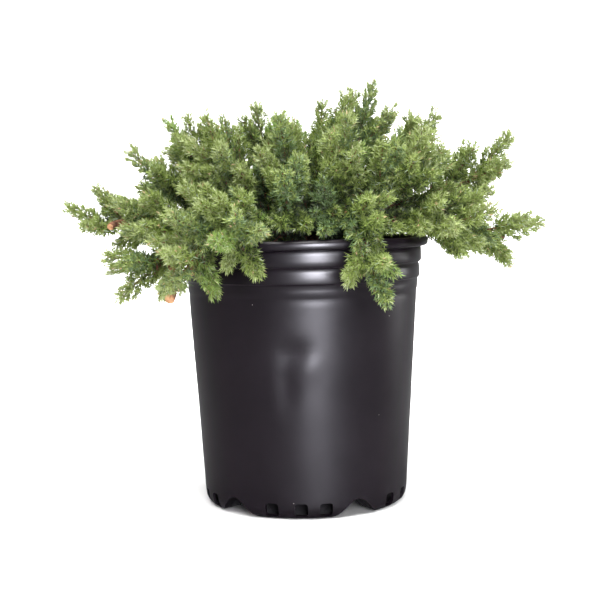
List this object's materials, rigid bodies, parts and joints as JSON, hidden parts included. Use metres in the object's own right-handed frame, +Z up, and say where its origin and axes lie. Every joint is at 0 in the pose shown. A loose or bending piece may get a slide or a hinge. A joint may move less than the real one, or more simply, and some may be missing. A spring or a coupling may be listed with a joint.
{
  "type": "potted green mound juniper",
  "caption": "Low mounding juniper with plumes of short needles that spill over the rim of a black ribbed nursery pot.",
  "frame": {"origin": "on the pot's axis, on the flat pad under the middle of the pot, level with the feet it stands on", "axes": "+Z up, -Y towards the viewer in the picture, +X to that viewer's right"},
  "size_m": [0.4402, 0.362, 0.3814],
  "materials": {
    "black_plastic": "satin black blow-moulded plastic with soft dents",
    "potting_mix": "loose crumbled bark potting mix",
    "bark": "red-brown bark that peels in thin strips",
    "needles": "short pointed mid-green needles in dense plumes"
  },
  "bodies": {
    "root": {"pot": "black_plastic", "soil": "potting_mix", "trunk": "bark", "bough_far_left": "bark", "foliage_far_left": "needles", "bough_left_shoulder": "bark", "foliage_left_shoulder": "needles", "bough_left_low": "bark", "foliage_left_low": "needles", "bough_left_hanging": "bark", "foliage_left_hanging": "needles", "bough_upper_left": "bark", "foliage_upper_left": "needles", "bough_front_left": "bark", "foliage_front_left": "needles", "bough_inner_left": "bark", "foliage_inner_left": "needles", "bough_top_left": "bark", "foliage_top_left": "needles", "bough_front_low": "bark", "foliage_front_low": "needles", "bough_front_low_right": "bark", "foliage_front_low_right": "needles", "bough_front_middle": "bark", "foliage_front_middle": "needles", "bough_top_right": "bark", "foliage_top_right": "needles", "bough_inner_right": "bark", "foliage_inner_right": "needles", "bough_front_hanging": "bark", "foliage_front_hanging": "needles", "bough_front_right": "bark", "foliage_front_right": "needles", "bough_upper_right": "bark", "foliage_upper_right": "needles", "bough_right_shoulder": "bark", "foliage_right_shoulder": "needles", "bough_far_right": "bark", "foliage_far_right": "needles", "bough_right_low": "bark", "foliage_right_low": "needles", "bough_back_left": "bark", "foliage_back_left": "needles", "bough_back_top": "bark", "foliage_back_top": "needles", "bough_back_right": "bark", "foliage_back_right": "needles", "bough_right_back": "bark", "foliage_right_back": "needles", "bough_left_back_low": "bark", "foliage_left_back_low": "needles", "bough_back_low_left": "bark", "foliage_back_low_left": "needles", "bough_back_low": "bark", "foliage_back_low": "needles", "bough_back_low_right": "bark", "foliage_back_low_right": "needles"}
  },
  "joints": []
}
